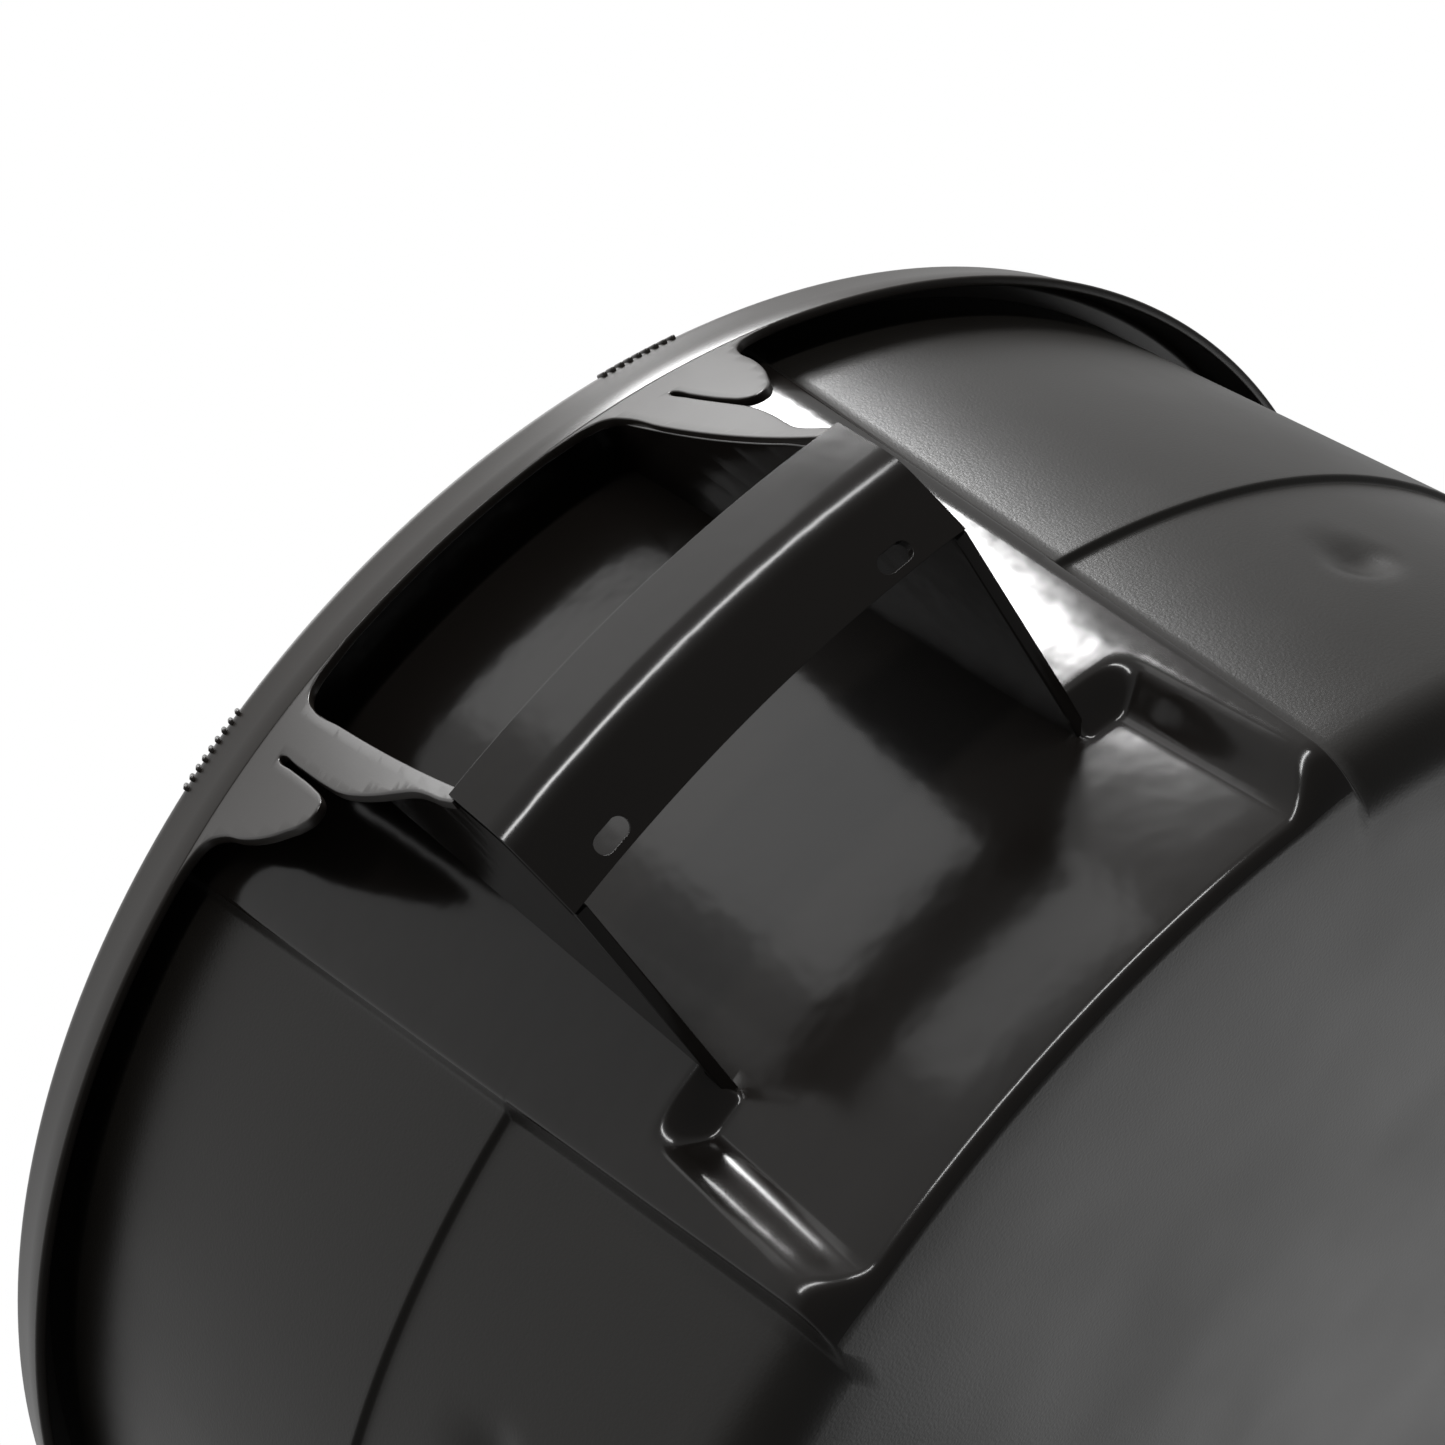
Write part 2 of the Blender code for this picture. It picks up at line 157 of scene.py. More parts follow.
# heights up the wall in tenths of a millimetre, close together where it bends
wallRows += [("wall", z / 10000) for z in (
    360, 440, 520, 580, 620, 640, 655, 668, 680, 692, 704, 716, 728, 740, 752, 764, 780, 800, 850,
    930, 1030, 1120, 1190, 1225, 1238, 1243, 1247, 1250, 1253, 1257, 1262, 1275, 1310, 1380, 1500,
    1700, 1900, 2100, 2300, 2500, 2650, 2750, 2820, 2862, 2885, 2910, 2935, 2960, 2985)]
wallRows.append(("wall", shellTop))


def rowPoint(radiusAt, width, rise, row):
    kind, value = row
    start = radiusAt(rise) - width
    if kind == "flat":
        return start * value, 0.0
    if kind == "turn":
        angle = value * math.pi / 2
        return start + width * math.sin(angle), rise * (1 - math.cos(angle))
    if kind == "rise":
        height = mix(rise, 0.030, value)
        return radiusAt(height), height
    return radiusAt(value), value


def blendPoint(a, b, t):
    return mix(a[0], b[0], t), mix(a[1], b[1], t)


# columns of faces between one upright line of lineAcross and the next, from a handle's middle out
handleLines = (16, 5, 6, 12, 4, 5)


# how far each upright line stands from the handle's middle: middle, both sides of the web,
# notch floor, notch mouth, both sides of the crease
def lineAcross(index, z):
    share = min(1.0, z / wall["notchHigh"])
    crease = wall["creaseFoot"] + wall["creaseGain"] * z / shellTop
    return (0.0, wall["webIn"], wall["webOut"], wall["floorHalf"],
            wall["mouthHalf"] + wall["mouthFlare"] * (1 - share),
            crease, crease + wall["creaseWidth"])[index]


handleSteps = [(line, step / count) for line, count in enumerate(handleLines)
               for step in range(count)] + [(6, 0.0)]
coneBearings = []
bearing = 0.0
while bearing < 1.0:
    coneBearings.append(bearing)
    bearing += 0.0055 if bearing < 0.22 or bearing > 0.78 else 0.018
coneBearings = [b / bearing for b in coneBearings[1:]]


# radius, distance across and height of one point of the wall between two of those lines
def handlePoint(line, share, row):
    cone = rowPoint(coneRadius, wall["footWidth"], wall["footRise"], row)
    pad = rowPoint(padRadius, wall["footWidth"] * 0.8, wall["footRise"] * 0.8, row)
    pocket = rowPoint(pocketRadius, wall["notchWidth"], wall["notchRise"], row)
    opened = ease(wall["notchLow"], wall["notchHigh"], pocket[1])
    if line == 0:
        place = pocket
    elif line == 1:
        place = blendPoint(pocket, blendPoint(pocket, pad, opened), ease(0, 1, share))
    elif line == 2:
        place = blendPoint(pocket, pad, opened)
    elif line == 3:
        out = ease(0, 1, share)
        place = blendPoint(pocket, pad, 1 - (1 - out) * (1 - opened))
    elif line == 4:
        place = pad
    elif line == 5:
        place = blendPoint(pad, cone, ease(0, 1, share))
    else:
        place = cone
    z = place[1]
    across = mix(lineAcross(line, z), lineAcross(min(line + 1, 6), z), share)
    return place[0], across, z


def dimple(bearingHere, radius, z):
    apart = abs(bearingHere) - math.radians(wall["dimpleBearing"])
    distance = math.hypot(apart * radius, z - wall["dimpleHeight"]) / wall["dimpleRadius"]
    return wall["dimpleDepth"] * (1 - min(1.0, distance) ** 2) ** 2


def buildShell():
    half = []                                   # one side of one handle, then the wall beyond
    for line, share in handleSteps:
        points = []
        for kind, value in wallRows:            # the flat base draws its outline in to the middle
            flat = kind == "flat"
            place = handlePoint(line, share, (kind, 1.0 if flat else value))
            points.append(onRing(*place) * (value if flat else 1.0))
        half.append(points)
    last = half[-1]
    beyond = []
    for share in coneBearings:
        points = []
        for start, row in zip(last, wallRows):
            radius, z = rowPoint(coneRadius, wall["footWidth"], wall["footRise"], row)
            begin = math.atan2(start.y, start.x) if radius > 0.001 else 0.35
            turn = mix(begin, math.pi - begin, share)
            folded = min(turn, math.pi - turn)
            radius -= dimple(folded, radius, z)
            points.append(Vector((radius * math.cos(turn), radius * math.sin(turn), z)))
        beyond.append(points)
    mirrored = [[Vector((p.x, -p.y, p.z)) for p in column] for column in reversed(half[1:])]
    first = mirrored + half + beyond
    second = [[Vector((-p.x, -p.y, p.z)) for p in column] for column in first]
    columns = first + second + [first[0]]
    bpy.ops.mesh.primitive_grid_add(x_subdivisions=len(columns) - 1,
                                    y_subdivisions=len(wallRows) - 1, size=1)
    piece = bpy.context.object
    piece.name = "tubWall"
    for vertex in piece.data.vertices:
        column = round((vertex.co.x + 0.5) * (len(columns) - 1))
        row = round((vertex.co.y + 0.5) * (len(wallRows) - 1))
        vertex.co = columns[column][row]
    closeUp(piece)
    baseLook = sum(face.normal.z * face.area for face in piece.data.polygons
                   if face.center.z < 0.0001)
    if baseLook > 0:                            # the base has to look down
        editAll(piece)
        bpy.ops.mesh.flip_normals()
        leaveEdit()
    solid = piece.modifiers.new("wallThickness", "SOLIDIFY")
    solid.thickness = wall["thickness"]
    solid.offset = -1
    applyAll(piece)
    for vertex in piece.data.vertices:          # stray corners go back into the wall
        if vertex.co.z < 0:
            vertex.co.z = wall["thickness"]
        vertex.co.z = min(vertex.co.z, shellTop)
    smooth(piece, 50)
    return piece


# the rim with its hanging skirt, and the finger ribs beside each handle
rim = {"thickness": 0.004, "lean": 0.003, "shoulder": 0.007, "edgeRound": 0.0011, "steps": 320,
       "mouth": 0.325, "ribCount": 9, "ribFirst": 14.2, "ribStep": 0.62, "ribLength": 0.0062,
       "ribWidth": 0.0017, "ribHeight": 0.0011}


# a closed outline of radius and height, turned about the tub's axis
def turnOutline(name, outline, startAngle, sweep, steps):
    deselectAll()
    bpy.ops.mesh.primitive_circle_add(vertices=len(outline), radius=0.01)
    piece = bpy.context.object
    piece.name = name
    for vertex, (radius, z) in zip(piece.data.vertices, outline):
        vertex.co = (radius * math.cos(startAngle), radius * math.sin(startAngle), z)
    editAll(piece)
    bpy.ops.mesh.spin(steps=steps, angle=sweep, center=(0, 0, 0), axis=(0, 0, 1))
    leaveEdit()
    return piece


def arcPoints(centre, radius, first, last, count):
    points = []
    for step in range(count + 1):
        angle = math.radians(mix(first, last, step / count))
        points.append((centre[0] + radius * math.cos(angle), centre[1] + radius * math.sin(angle)))
    return points


def buildRim():
    shoulder = (rimRadius - rim["lean"] - rim["shoulder"], rimTop - rim["shoulder"])
    edge = rim["edgeRound"]
    outline = arcPoints((rimRadius - edge, skirtBottom + edge), edge, -90, 0, 4)
    outline.append((rimRadius - rim["lean"] / 2, (skirtBottom + rimTop - rim["shoulder"]) / 2))
    outline += arcPoints(shoulder, rim["shoulder"], 0, 90, 10)
    outline.append((rim["mouth"] + 0.0015, rimTop))
    outline.append((rim["mouth"], rimTop - 0.0012))
    outline.append((rim["mouth"], rimTop - rim["thickness"]))
    outline += arcPoints(shoulder, rim["shoulder"] - rim["thickness"], 90, 0, 5)
    inner = rimRadius - rim["thickness"]
    outline += arcPoints((inner + edge, skirtBottom + edge), edge, 180, 270, 4)
    piece = turnOutline("rimSkirt", outline, 0.0, math.tau, rim["steps"])
    closeUp(piece)
    smooth(piece, 40)
    return piece


def rimRibs(name, handleTurn):
    shoulder = (rimRadius - rim["lean"] - rim["shoulder"], rimTop - rim["shoulder"])
    bars = []
    for side in (-1, 1):
        for index in range(rim["ribCount"]):
            deselectAll()
            bpy.ops.mesh.primitive_cube_add(size=1)
            bar = bpy.context.object
            bar.data.transform(Matrix.Diagonal((rim["ribHeight"] * 2, rim["ribWidth"],
                                                rim["ribLength"], 1)))
            bevel = bar.modifiers.new("round", "BEVEL")
            bevel.width = rim["ribWidth"] * 0.4
            bevel.segments = 3
            applyAll(bar)
            tilt = Matrix.Rotation(math.radians(-34), 4, "Y")
            out = Matrix.Translation((rim["shoulder"], 0, 0))
            place = Matrix.Translation((shoulder[0], 0, shoulder[1]))
            turn = math.radians(side * (rim["ribFirst"] + index * rim["ribStep"]))
            bar.data.transform(Matrix.Rotation(turn + handleTurn, 4, "Z") @ place @ tilt @ out)
            bars.append(bar)
    deselectAll()
    for bar in bars:
        bar.select_set(True)
    bpy.context.view_layer.objects.active = bars[0]
    bpy.ops.object.join()
    piece = bpy.context.object
    piece.name = name
    smooth(piece, 40)
    return piece


# the flared arms with their lobes and slits
arm = {"inner": 0.0685, "thickness": 0.004, "edge": 0.0007, "drop": 0.1484,
       "slope": 0.31, "curve": 0.84, "cutEvery": 0.0045}


def flareRadius(drop):
    return rimRadius + arm["slope"] * drop + arm["curve"] * max(drop, 0.0) ** 2


# distance beyond the web's inner face, drop below the skirt, and corner or smooth
armOutline = (
    (-0.0260, -0.005, "corner"), (-0.0250, -0.0003, "corner"), (-0.0150, 0.0007, "smooth"),
    (-0.0075, 0.0020, "smooth"), (-0.0023, 0.0060, "smooth"), (0.0002, 0.0135, "smooth"),
    (0.0004, 0.040, "smooth"), (0.0004, 0.1486, "corner"),
    (0.0046, 0.1486, "corner"), (0.0055, 0.1380, "smooth"), (0.0056, 0.1290, "smooth"),
    (0.0064, 0.1180, "smooth"), (0.0090, 0.1070, "smooth"), (0.0119, 0.0966, "smooth"),
    (0.0150, 0.0830, "smooth"), (0.0167, 0.0720, "smooth"), (0.0172, 0.0600, "smooth"),
    (0.0171, 0.0300, "smooth"), (0.0171, 0.0178, "smooth"), (0.0180, 0.0166, "smooth"),
    (0.0189, 0.0178, "smooth"), (0.0191, 0.0300, "smooth"), (0.0198, 0.0540, "smooth"),
    (0.0206, 0.0605, "smooth"), (0.0226, 0.0645, "smooth"), (0.0262, 0.0652, "smooth"),
    (0.0302, 0.0618, "smooth"), (0.0345, 0.0540, "smooth"), (0.0392, 0.0440, "smooth"),
    (0.0440, 0.0293, "smooth"), (0.0478, 0.0130, "smooth"), (0.0525, 0.0050, "smooth"),
    (0.0600, 0.0012, "smooth"), (0.0700, -0.0003, "corner"), (0.0710, -0.005, "corner"),
)


# flat plate with rounded edges, its faces cut so that it can be bent
def plate(name, outline, thickness, edge, cuts):
    deselectAll()
    bpy.ops.curve.primitive_bezier_circle_add(radius=0.01)
    piece = bpy.context.object
    piece.name = name
    curve = piece.data
    curve.dimensions = "2D"
    curve.fill_mode = "BOTH"
    curve.resolution_u = 6
    curve.splines.clear()
    spline = curve.splines.new("BEZIER")
    spline.bezier_points.add(len(outline) - 1)
    spline.use_cyclic_u = True
    for point, (u, v, kind) in zip(spline.bezier_points, outline):
        point.co = (u, v, 0)
        handleKind = "VECTOR" if kind == "corner" else "AUTO"
        point.handle_left_type = handleKind
        point.handle_right_type = handleKind
    curve.extrude = thickness / 2 - edge
    curve.bevel_depth = edge
    curve.bevel_resolution = 2
    curve.offset = -edge
    pick(piece)
    bpy.ops.object.convert(target="MESH")
    piece = bpy.context.object
    for place, normal in cuts:
        editAll(piece)
        bpy.ops.mesh.bisect(plane_co=place, plane_no=normal)
        leaveEdit()
    closeUp(piece)
    return piece


def buildArm(name, side):
    cuts = []
    step = arm["cutEvery"]
    for index in range(-5, 16):
        cuts.append(((index * step, 0, 0), (1, 0, 0)))
    for index in range(0, 33):
        cuts.append(((0, index * step, 0), (0, 1, 0)))
    piece = plate(name, armOutline, arm["thickness"], arm["edge"], cuts)
    for vertex in piece.data.vertices:
        across, drop, depth = vertex.co
        radius = flareRadius(drop) - arm["thickness"] / 2 + depth
        vertex.co = onRing(radius, side * (arm["inner"] + across), skirtBottom - drop)
    closeUp(piece)
    smooth(piece, 40)
    return piece


# the rolled grip; it reaches into the webs so that no seam shows
grip = {"proud": 0.0025, "wall": 0.004, "flat": 0.0148, "lean": 0.001, "round": 0.019,
        "turn": 43.5, "slant": 0.0195, "half": 0.0725, "slotAcross": 0.052, "slotLength": 0.0112,
        "slotWidth": 0.0058, "slotShare": 0.72, "edge": 0.0007}


def gripLine(inset=0.0, count=10):
    top = flareRadius(arm["drop"]) + grip["proud"] - inset
    centre = (top - grip["lean"] + inset - grip["round"], skirtBottom - arm["drop"] - grip["flat"])
    points = [(top, skirtBottom - arm["drop"])]
    points.append((top - grip["lean"] * 0.4, skirtBottom - arm["drop"] - grip["flat"] * 0.5))
    bend = arcPoints(centre, grip["round"] - inset, 0, -grip["turn"], count)
    angle = math.radians(grip["turn"])
    end = (bend[-1][0] - grip["slant"] * math.sin(angle),
           bend[-1][1] - grip["slant"] * math.cos(angle))
    return points + bend + [blendPoint(bend[-1], end, 0.5), end]


def buildGrip(name):
    outline = gripLine() + list(reversed(gripLine(grip["wall"])))
    piece = turnOutline(name, outline, 0.0, math.radians(26), 52)
    middle = sum((vertex.co for vertex in piece.data.vertices), Vector())
    piece.data.transform(Matrix.Rotation(-math.atan2(middle.y, middle.x), 4, "Z"))
    for side in (-1, 1):
        editAll(piece)
        bpy.ops.mesh.bisect(plane_co=(0, side * grip["half"], 0), plane_no=(0, side, 0),
                            use_fill=True, clear_outer=True)
        leaveEdit()
    closeUp(piece, 0.00001)
    line = gripLine(grip["wall"] / 2)
    radius, z = blendPoint(line[-3], line[-1], grip["slotShare"])
    for side in (-1, 1):
        deselectAll()
        bpy.ops.mesh.primitive_cylinder_add(vertices=32, radius=grip["slotWidth"] / 2, depth=0.02)
        cutter = bpy.context.object
        half = (grip["slotLength"] - grip["slotWidth"]) / 2
        for vertex in cutter.data.vertices:
            vertex.co.y += half if vertex.co.y > 0 else -half
        place = Matrix.Translation(onRing(radius, side * grip["slotAcross"], z))
        bearingHere = Matrix.Rotation(math.asin(side * grip["slotAcross"] / radius), 4, "Z")
        tilt = Matrix.Rotation(math.radians(90 + grip["turn"]), 4, "Y")
        cutter.data.transform(place @ bearingHere @ tilt)
        cut = piece.modifiers.new("slot", "BOOLEAN")
        cut.operation = "DIFFERENCE"
        cut.object = cutter
        applyAll(piece)
        bpy.data.objects.remove(cutter)
    bevel = piece.modifiers.new("edges", "BEVEL")
    bevel.width = grip["edge"]
    bevel.segments = 3
    bevel.limit_method = "ANGLE"
    bevel.angle_limit = math.radians(38)
    normals = piece.modifiers.new("normals", "WEIGHTED_NORMAL")
    normals.keep_sharp = True
    smooth(piece, 40)
    applyAll(piece)
    return piece


# the triangular webs; sink is how far their edge stays below the grip's face
web = {"thickness": 0.004, "inner": 0.0685, "root": 0.3152, "rootLow": 0.0695, "edge": 0.0006,
       "sink": 0.0016, "armSink": 0.0022, "footOut": 0.3315, "footHigh": 0.0722,
       "cutStart": 0.33, "cutEvery": 0.012, "cutCount": 7}


def webOutline():
    back = web["inner"] + web["thickness"] / 2

    def point(radius, z, kind="corner"):
        place = onRing(radius, back, z)
        return place.x, place.z, kind

    top = rimTop - 0.003
    points = [point(web["root"], web["rootLow"] - 0.0005), point(web["root"], shellTop - 0.0165)]
    points += [point(0.3200, shellTop - 0.0070), point(0.3262, shellTop - 0.0030)]
    points.append(point(0.3312, shellTop - 0.0008))
    points.append(point(rimRadius - rim["lean"] - 0.006, top))
    points.append(point(rimRadius - rim["thickness"] + 0.001, skirtBottom + 0.012))
    points.append(point(rimRadius - 0.0025, skirtBottom - 0.001))
    for share in (0.2, 0.4, 0.6, 0.8, 0.98):
        drop = arm["drop"] * share
        points.append(point(flareRadius(drop) - web["armSink"], skirtBottom - drop, "smooth"))
    line = gripLine(web["sink"], 4)
    for radius, z in line:
        points.append(point(radius, z))
    lip = gripLine(0.0, 4)[-1]
    points.append(point(lip[0] - 0.0015, lip[1] + 0.0002))
    points.append(point(web["footOut"], web["footHigh"]))
    return points


def buildWeb(name, side):
    cuts = [((web["cutStart"] + web["cutEvery"] * step, 0, 0), (1, 0, 0))
            for step in range(web["cutCount"])]
    piece = plate(name, webOutline(), web["thickness"], web["edge"], cuts)
    for vertex in piece.data.vertices:
        x, z, depth = vertex.co
        vertex.co = (x, side * (web["inner"] + web["thickness"] / 2 + depth), z)
    closeUp(piece)
    smooth(piece, 35)
    return piece


# the plastics
def addNode(tree, kind, inputs=None, **settings):
    node = tree.nodes.new(kind)
    for key, value in settings.items():
        setattr(node, key, value)
    for key, value in (inputs or {}).items():
        if isinstance(value, bpy.types.NodeSocket):
            tree.links.new(value, node.inputs[key])
        else:
            node.inputs[key].default_value = value
    return node


grained = {"dark": "#191715", "light": "#211f1c", "rough": (0.30, 0.40), "grain": 0.0010,
           "grainBump": 0.16}
polished = {"dark": "#171513", "light": "#1d1a18", "rough": (0.12, 0.18), "wave": 0.018,
            "waveBump": 0.05}
satin = {"dark": "#24211e", "light": "#2d2926", "rough": (0.27, 0.34), "grain": 0.0007,
         "grainBump": 0.05}


def newMaterial(name):
    material = bpy.data.materials.new(name)
    material.use_nodes = True
    tree = material.node_tree
    tree.nodes.clear()
    output = addNode(tree, "ShaderNodeOutputMaterial")
    shader = addNode(tree, "ShaderNodeBsdfPrincipled")
    shader.inputs["IOR"].default_value = 1.54        # high-density polyethylene
    tree.links.new(shader.outputs[0], output.inputs[0])
    return material, tree, shader


# cloudy colour and roughness, and a fine grain or a long wave in the surface
def finishNodes(tree, place, values, size, strength, distance):
    cloud = addNode(tree, "ShaderNodeTexNoise", {"Vector": place, "Scale": 9.0, "Detail": 4.0})
    colour = addNode(tree, "ShaderNodeMixRGB", {0: cloud.outputs[0], 1: hexColour(values["dark"]),
                                                2: hexColour(values["light"])})
    rough = addNode(tree, "ShaderNodeMapRange", {"Value": cloud.outputs[0], "From Min": 0.3,
                                                 "From Max": 0.7, "To Min": values["rough"][0],
                                                 "To Max": values["rough"][1]})
    grain = addNode(tree, "ShaderNodeTexNoise", {"Vector": place, "Scale": 1 / size, "Detail": 2.0})
    bump = addNode(tree, "ShaderNodeBump", {"Height": grain.outputs[0], "Strength": strength,
                                            "Distance": distance})
    return colour.outputs[0], rough.outputs[0], bump.outputs[0]


# injection-moulded HDPE against a spark-eroded mould: a fine even grain, soft broad highlights;
# round the handles the mould is polished, which gives a glossy face with mirror-like reflections
def mouldedHdpeWall():
    material, tree, shader = newMaterial("mouldedHdpeGrainedAndPolished")
    place = addNode(tree, "ShaderNodeTexCoord").outputs["Object"]
    xyz = addNode(tree, "ShaderNodeSeparateXYZ", {0: place})
    side = addNode(tree, "ShaderNodeMath", {0: xyz.outputs[1]}, operation="ABSOLUTE")
    gain = wall["creaseGain"] / shellTop
    rise = addNode(tree, "ShaderNodeMath", {0: xyz.outputs[2], 1: gain,
                                            2: wall["creaseFoot"] + 0.0010},
                   operation="MULTIPLY_ADD")
    inZone = addNode(tree, "ShaderNodeMath", {0: side.outputs[0], 1: rise.outputs[0]},
                     operation="LESS_THAN")
    aboveBase = addNode(tree, "ShaderNodeMath", {0: xyz.outputs[2], 1: 0.0004},
                        operation="GREATER_THAN")
    zone = addNode(tree, "ShaderNodeMath", {0: inZone.outputs[0], 1: aboveBase.outputs[0]},
                   operation="MULTIPLY").outputs[0]
    rough = finishNodes(tree, place, grained, grained["grain"], grained["grainBump"], 0.0004)
    gloss = finishNodes(tree, place, polished, polished["wave"], polished["waveBump"], 0.004)
    colour = addNode(tree, "ShaderNodeMixRGB", {0: zone, 1: rough[0], 2: gloss[0]})
    roughness = addNode(tree, "ShaderNodeMix", {"Factor": zone, 2: rough[1], 3: gloss[1]})
    normal = addNode(tree, "ShaderNodeMix", {"Factor": zone, 4: rough[2], 5: gloss[2]},
                     data_type="VECTOR")
    tree.links.new(colour.outputs[0], shader.inputs["Base Color"])
    tree.links.new(roughness.outputs[0], shader.inputs["Roughness"])
    tree.links.new(normal.outputs[1], shader.inputs["Normal"])
    return material


def simplePlastic(name, values, size, strength, distance):
    material, tree, shader = newMaterial(name)
    place = addNode(tree, "ShaderNodeTexCoord").outputs["Object"]
    colour, rough, normal = finishNodes(tree, place, values, size, strength, distance)
    tree.links.new(colour, shader.inputs["Base Color"])
    tree.links.new(rough, shader.inputs["Roughness"])
    tree.links.new(normal, shader.inputs["Normal"])
    return material


wallPlastic = mouldedHdpeWall()
# the rim and arms come from a finer mould face: satin, with a quiet sheen
satinPlastic = simplePlastic("mouldedHdpeSatin", satin, satin["grain"], satin["grainBump"], 0.0003)
# the grip and webs are polished for the hand: long sharp highlights, slightly wavy from shrinkage
gripPlastic = simplePlastic("mouldedHdpePolished", polished, polished["wave"],
                            polished["waveBump"], 0.004)
print("plastics made")


def finishPiece(piece, material, slot, *nodes):
    piece.data.materials.clear()
    piece.data.materials.append(material)
    for polygon in piece.data.polygons:
        polygon.material_index = 0
    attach(piece, "root")
    if nodes:
        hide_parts(*nodes)


deselectAll()
finishPiece(buildShell(), wallPlastic, "grained_black_hdpe", "tub_shell")
print("wall and base made")
finishPiece(buildRim(), satinPlastic, "satin_black_hdpe", "rim_skirt")
for end, turn in (("front", 0.0), ("rear", math.pi)):
    finishPiece(rimRibs(end + "RimRibs", turn), satinPlastic, "satin_black_hdpe")
print("rim made")
frontGrip = buildGrip("frontGrip")
handlePieces = [(frontGrip, gripPlastic, "polished_black_hdpe", "grip")]
for label, side in (("left", -1), ("right", 1)):
    handlePieces.append((buildArm("frontArm" + label.title(), side), satinPlastic,
                         "satin_black_hdpe", "arm_" + label))
    handlePieces.append((buildWeb("frontWeb" + label.title(), side), gripPlastic,
                         "satin_black_hdpe", "web_" + label))
for piece, material, slot, node in handlePieces:
    rear = halfTurnCopy(piece, piece.name.replace("front", "rear"))
    finishPiece(piece, material, slot, "front_" + node)
    finishPiece(rear, material, slot, "rear_" + node)
print("handles made")


# floor, light and camera
studio = {"floorSize": 60.0, "floorColour": "#e9e9e7", "lowLight": 0.10, "highLight": 0.66,
          "frontLight": 3.6, "baseLight": 7.0, "overLight": 8.0,
          "topLight": 44.0, "topSize": 0.62, "topDistance": 2.2,
          "stripLight": 16.0, "stripLength": 1.9, "stripWidth": 0.14, "stripDistance": 1.9}


# an area light that looks at the target, its first side kept level
def softBox(name, target, direction, distance, sizeX, sizeY, power):
    across = Vector((0, 1, 0))
    light = bpy.data.lights.new(name, "AREA")
    light.shape = "RECTANGLE"
    light.size = sizeX
    light.size_y = sizeY
    light.energy = power
    lamp = bpy.data.objects.new(name, light)
    bpy.context.scene.collection.objects.link(lamp)
    back = Vector(direction).normalized()
    sideways = (across - back * across.dot(back)).normalized()
    turned = Matrix((sideways, back.cross(sideways), back)).transposed().to_4x4()
    turned.translation = Vector(target) + back * distance
    lamp.matrix_world = turned


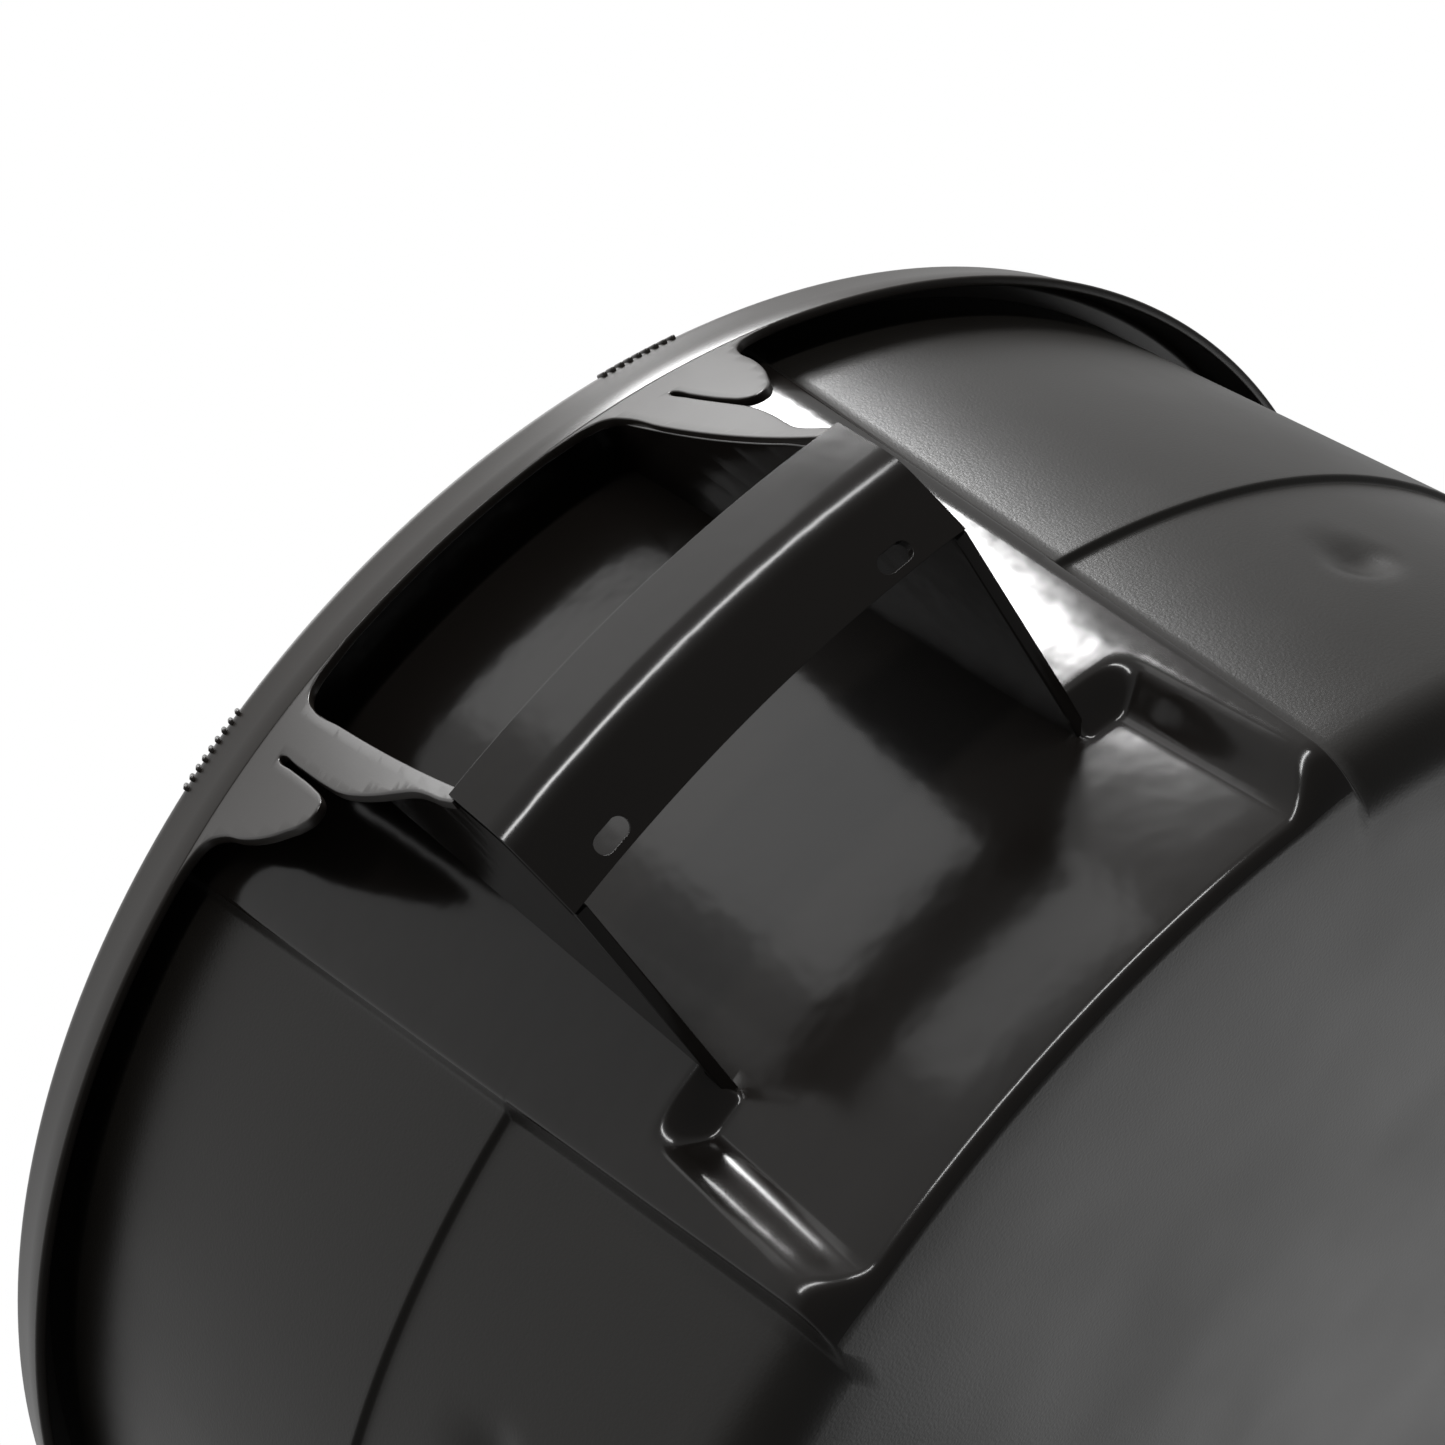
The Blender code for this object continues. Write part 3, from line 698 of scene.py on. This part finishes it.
def buildStudio():
    deselectAll()
    bpy.ops.mesh.primitive_plane_add(size=studio["floorSize"], location=(0, 0, -0.0004))
    floor = bpy.context.object
    floor.name = "studioFloor"
    material = bpy.data.materials.new("paleStudioFloor")
    material.use_nodes = True
    tree = material.node_tree
    tree.nodes.clear()
    pale = addNode(tree, "ShaderNodeBsdfDiffuse", {"Color": hexColour(studio["floorColour"])})
    clear = addNode(tree, "ShaderNodeBsdfTransparent")
    under = addNode(tree, "ShaderNodeNewGeometry").outputs["Backfacing"]   # seen through from below
    both = addNode(tree, "ShaderNodeMixShader", {0: under, 1: pale.outputs[0], 2: clear.outputs[0]})
    addNode(tree, "ShaderNodeOutputMaterial", {0: both.outputs[0]})
    floor.data.materials.append(material)
    floor.visible_diffuse = False
    floor.visible_glossy = False
    floor.visible_transmission = False
    floor.visible_shadow = False
    world = bpy.data.worlds.new("paleStudio")
    bpy.context.scene.world = world
    world.use_nodes = True
    tree = world.node_tree
    tree.nodes.clear()
    seen = addNode(tree, "ShaderNodeLightPath").outputs["Is Camera Ray"]
    look = addNode(tree, "ShaderNodeTexCoord").outputs["Generated"]
    height = addNode(tree, "ShaderNodeSeparateXYZ", {0: look}).outputs[2]
    strength = addNode(tree, "ShaderNodeMapRange", {"Value": height, "From Min": -0.5,
                                                    "From Max": 0.98, "To Min": studio["lowLight"],
                                                    "To Max": studio["highLight"]})
    lit = addNode(tree, "ShaderNodeBackground", {0: (1, 1, 1, 1), 1: strength.outputs[0]})
    shown = addNode(tree, "ShaderNodeBackground", {0: (1, 1, 1, 1), 1: 1.0})
    sky = addNode(tree, "ShaderNodeMixShader", {0: seen, 1: lit.outputs[0], 2: shown.outputs[0]})
    addNode(tree, "ShaderNodeOutputWorld", {0: sky.outputs[0]})
    handle = Vector((0.33, 0.08, 0.12))
    softBox("topSoftBox", handle, (0.42, 0.60, 0.68), studio["topDistance"], studio["topSize"],
            studio["topSize"], studio["topLight"])
    softBox("frontSoftBox", handle, (0.76, 0.20, 0.62), 2.4, 1.3, 1.0, studio["frontLight"])
    softBox("overSoftBox", handle, (-0.05, 0.20, 0.97), 2.4, 1.4, 1.4, studio["overLight"])
    softBox("baseSoftBox", (0, 0, 0), (-0.84, 0.30, -0.46), 2.6, 1.6, 1.6, studio["baseLight"])
    softBox("gripStrip", (0.40, 0, 0.11), (0.975, 0.21, -0.07), studio["stripDistance"],
            studio["stripLength"], studio["stripWidth"], studio["stripLight"])


# the camera stands below the base plane, in front of the +X handle; its distance is in rim radii
def buildCamera():
    centre = Vector((0, 0, skirtBottom))
    camera = bpy.data.cameras.new("camera")
    camera.sensor_width = 36
    camera.lens = 59.8
    camera.clip_start = 0.01
    holder = bpy.data.objects.new("camera", camera)
    bpy.context.scene.collection.objects.link(holder)
    right = Vector((-0.36054, 0.69795, -0.61877))
    up = Vector((0.59059, 0.68429, 0.42772))
    back = Vector((0.72195, -0.21123, -0.65892))
    pose = Matrix((right, up, back)).transposed().to_4x4()
    pose.translation = centre + rimRadius * Vector((2.4203, -0.4081, -1.7077))
    holder.matrix_world = pose
    bpy.context.scene.camera = holder


buildStudio()
buildCamera()
bpy.context.scene.view_settings.view_transform = "Standard"
print("studio and camera made")
